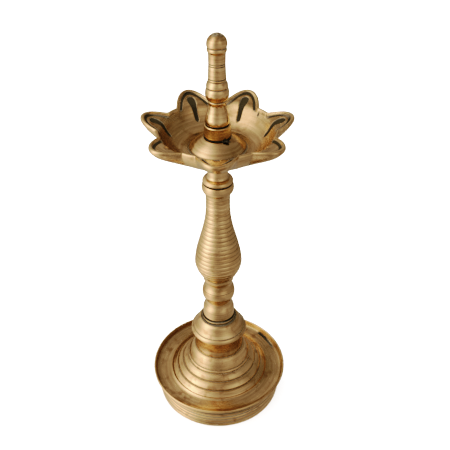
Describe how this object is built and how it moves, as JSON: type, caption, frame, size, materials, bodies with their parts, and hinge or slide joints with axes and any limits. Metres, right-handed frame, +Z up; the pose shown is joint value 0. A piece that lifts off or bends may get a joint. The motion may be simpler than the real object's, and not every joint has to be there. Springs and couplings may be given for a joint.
{
  "type": "standing oil lamp",
  "caption": "Tall brass oil lamp: a drip-tray foot, a ribbed turned stem, an open bowl with petal-shaped wick spouts, and a tall finial. The sections screw together on studs.",
  "frame": {"origin": "on the lamp's axis, in the plane its foot stands on", "axes": "+Z up along the lamp's axis, -Y towards the front petal"},
  "size_m": [0.1264, 0.1264, 0.354],
  "materials": {
    "base_brass": "satin, aged",
    "stud_brass": "threaded, dull",
    "ring_brass": "satin, aged",
    "stem_brass": "satin, aged",
    "packing": "dark, oil-soaked",
    "socket_brass": "satin, aged",
    "bowl_brass": "satin, aged",
    "sealing_pitch": "black sealing compound",
    "collar_brass": "satin, aged",
    "finial_brass": "satin, aged"
  },
  "bodies": {
    "base": {"base": "base_brass", "base_stud": "stud_brass"},
    "seat_ring": {"seat_ring": "ring_brass"},
    "stem": {"stem": "stem_brass", "bowl_stud": "stud_brass"},
    "bowl_packing": {"bowl_packing": "packing"},
    "bowl": {"bowl_socket": "socket_brass", "bowl": "bowl_brass", "bowl_seal": "sealing_pitch", "bowl_collar": "collar_brass", "finial_stud": "stud_brass"},
    "finial_packing": {"finial_packing": "packing"},
    "finial": {"finial": "finial_brass"}
  },
  "joints": [
    {"name": "stem_turn", "type": "hinge", "parent": "base", "child": "seat_ring", "pos_m": [0, 0, 0.089], "axis": [0, 0, 1], "range_deg": [0, 2160]},
    {"name": "stem_lift", "type": "slide", "parent": "seat_ring", "child": "stem", "axis": [0, 0, 1], "range_m": [0, 0.012]},
    {"name": "bowl_turn", "type": "hinge", "parent": "stem", "child": "bowl_packing", "pos_m": [0, 0, 0.2323], "axis": [0, 0, 1], "range_deg": [0, 2160]},
    {"name": "bowl_lift", "type": "slide", "parent": "bowl_packing", "child": "bowl", "axis": [0, 0, 1], "range_m": [0, 0.012]},
    {"name": "finial_turn", "type": "hinge", "parent": "bowl", "child": "finial_packing", "pos_m": [0, 0, 0.2844], "axis": [0, 0, 1], "range_deg": [0, 2160]},
    {"name": "finial_lift", "type": "slide", "parent": "finial_packing", "child": "finial", "axis": [0, 0, 1], "range_m": [0, 0.012]}
  ],
  "couplings": [
    {"joint": "stem_turn", "follows": "stem_lift", "rad_per_m": 3141.6},
    {"joint": "bowl_turn", "follows": "bowl_lift", "rad_per_m": 3141.6},
    {"joint": "finial_turn", "follows": "finial_lift", "rad_per_m": 3141.6}
  ]
}
